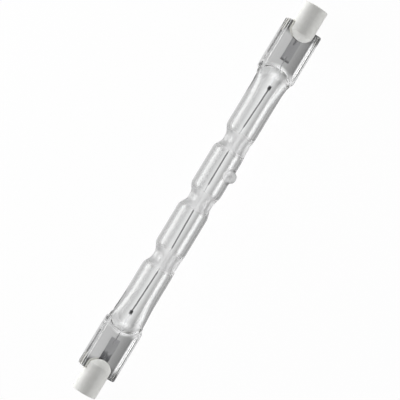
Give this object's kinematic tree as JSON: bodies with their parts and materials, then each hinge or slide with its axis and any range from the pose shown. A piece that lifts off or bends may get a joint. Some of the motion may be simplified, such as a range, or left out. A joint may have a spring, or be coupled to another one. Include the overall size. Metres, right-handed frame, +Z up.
{
  "type": "linear halogen bulb",
  "caption": "Double-ended linear halogen bulb: clear waisted quartz tube, flat press seals with foils, thin filament, white ceramic caps with recessed contacts.",
  "frame": {"origin": "middle of the bulb's long axis, midway between the two cap ends", "axes": "+X along the bulb towards the cap nearer the exhaust tip, +Z up from the surface the bulb lies on"},
  "size_m": [0.1176, 0.0109, 0.0088],
  "materials": {
    "quartz": "clear, polished",
    "ceramic": "matte white steatite",
    "filament": "dull grey tungsten wire",
    "lead_wire": "satin molybdenum wire",
    "foil": "satin molybdenum foil",
    "contact": "nickel, satin",
    "cement": "matte off-white cement"
  },
  "bodies": {
    "root": {"quartz_envelope": "quartz", "filament_coil": "filament", "inner_lead_left": "lead_wire", "moly_foil_left": "foil", "outer_lead_left": "lead_wire", "ceramic_cap_left": "ceramic", "contact_button_left": "contact", "base_cement_left": "cement", "inner_lead_right": "lead_wire", "moly_foil_right": "foil", "outer_lead_right": "lead_wire", "ceramic_cap_right": "ceramic", "contact_button_right": "contact", "base_cement_right": "cement"}
  },
  "joints": []
}
